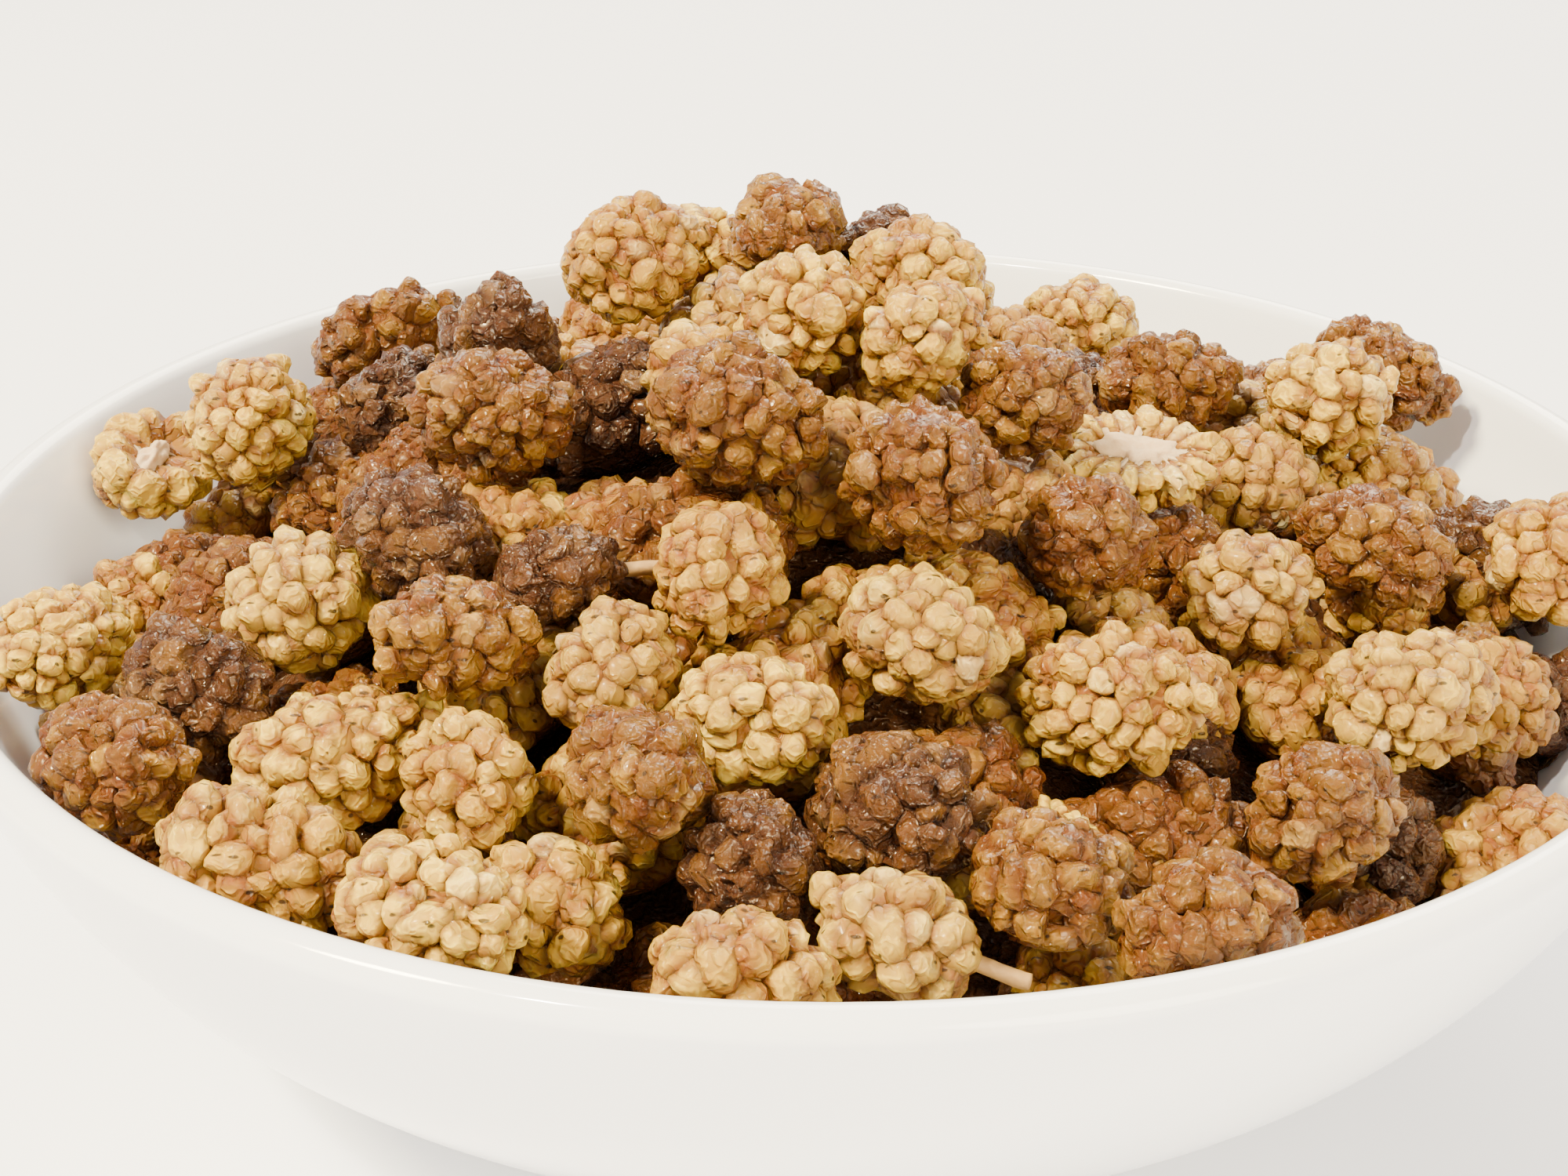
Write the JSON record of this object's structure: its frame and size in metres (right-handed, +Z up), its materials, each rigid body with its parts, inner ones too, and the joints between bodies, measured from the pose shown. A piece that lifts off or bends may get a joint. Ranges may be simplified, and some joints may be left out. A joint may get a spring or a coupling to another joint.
{
  "type": "bowl of dried mulberries",
  "caption": "Shallow round glazed bowl heaped with dried white mulberries, from pale straw to amber and brown, with small cut stems on some.",
  "frame": {"origin": "middle of the circle that the foot ring stands on", "axes": "+Z up through the heap; -Y is the front of the heap, the side the picture shows"},
  "size_m": [0.16, 0.16, 0.072],
  "materials": {
    "glazed_porcelain": "glazed, smooth and glossy",
    "mulberries_pressed": "dried fruit, matte in the gaps",
    "mulberry_straw": "dried fruit, satin",
    "mulberry_cream": "dried fruit, satin",
    "mulberry_amber": "dried fruit, sugary gloss",
    "mulberry_brown": "dried fruit, sugary gloss"
  },
  "bodies": {
    "root": {"bowl": "glazed_porcelain", "mulberry_bed": "mulberries_pressed", "straw_mulberry_01": "mulberry_straw", "amber_mulberry_02": "mulberry_amber", "cream_mulberry_03": "mulberry_cream", "straw_mulberry_04": "mulberry_straw", "amber_mulberry_05": "mulberry_amber", "straw_mulberry_06": "mulberry_straw", "amber_mulberry_07": "mulberry_amber", "brown_mulberry_08": "mulberry_brown", "straw_mulberry_09": "mulberry_straw", "straw_mulberry_10": "mulberry_straw", "straw_mulberry_11": "mulberry_straw", "straw_mulberry_12": "mulberry_straw", "cream_mulberry_13": "mulberry_cream", "brown_mulberry_14": "mulberry_brown", "straw_mulberry_15": "mulberry_straw", "amber_mulberry_16": "mulberry_amber", "amber_mulberry_17": "mulberry_amber", "straw_mulberry_18": "mulberry_straw", "brown_mulberry_19": "mulberry_brown", "straw_mulberry_20": "mulberry_straw", "straw_mulberry_21": "mulberry_straw", "straw_mulberry_22": "mulberry_straw", "straw_mulberry_23": "mulberry_straw", "cream_mulberry_24": "mulberry_cream", "straw_mulberry_25": "mulberry_straw", "cream_mulberry_26": "mulberry_cream", "amber_mulberry_27": "mulberry_amber", "cream_mulberry_28": "mulberry_cream", "straw_mulberry_29": "mulberry_straw", "amber_mulberry_30": "mulberry_amber", "straw_mulberry_31": "mulberry_straw", "amber_mulberry_32": "mulberry_amber", "amber_mulberry_33": "mulberry_amber", "cream_mulberry_34": "mulberry_cream", "brown_mulberry_35": "mulberry_brown", "straw_mulberry_36": "mulberry_straw", "brown_mulberry_37": "mulberry_brown", "brown_mulberry_38": "mulberry_brown", "straw_mulberry_39": "mulberry_straw", "amber_mulberry_40": "mulberry_amber", "amber_mulberry_41": "mulberry_amber", "straw_mulberry_42": "mulberry_straw", "brown_mulberry_43": "mulberry_brown", "straw_mulberry_44": "mulberry_straw", "amber_mulberry_45": "mulberry_amber", "amber_mulberry_46": "mulberry_amber", "amber_mulberry_47": "mulberry_amber", "amber_mulberry_48": "mulberry_amber", "straw_mulberry_49": "mulberry_straw", "brown_mulberry_50": "mulberry_brown", "brown_mulberry_51": "mulberry_brown", "straw_mulberry_52": "mulberry_straw", "amber_mulberry_53": "mulberry_amber", "straw_mulberry_54": "mulberry_straw", "straw_mulberry_55": "mulberry_straw", "straw_mulberry_56": "mulberry_straw", "straw_mulberry_57": "mulberry_straw"}
  },
  "joints": []
}
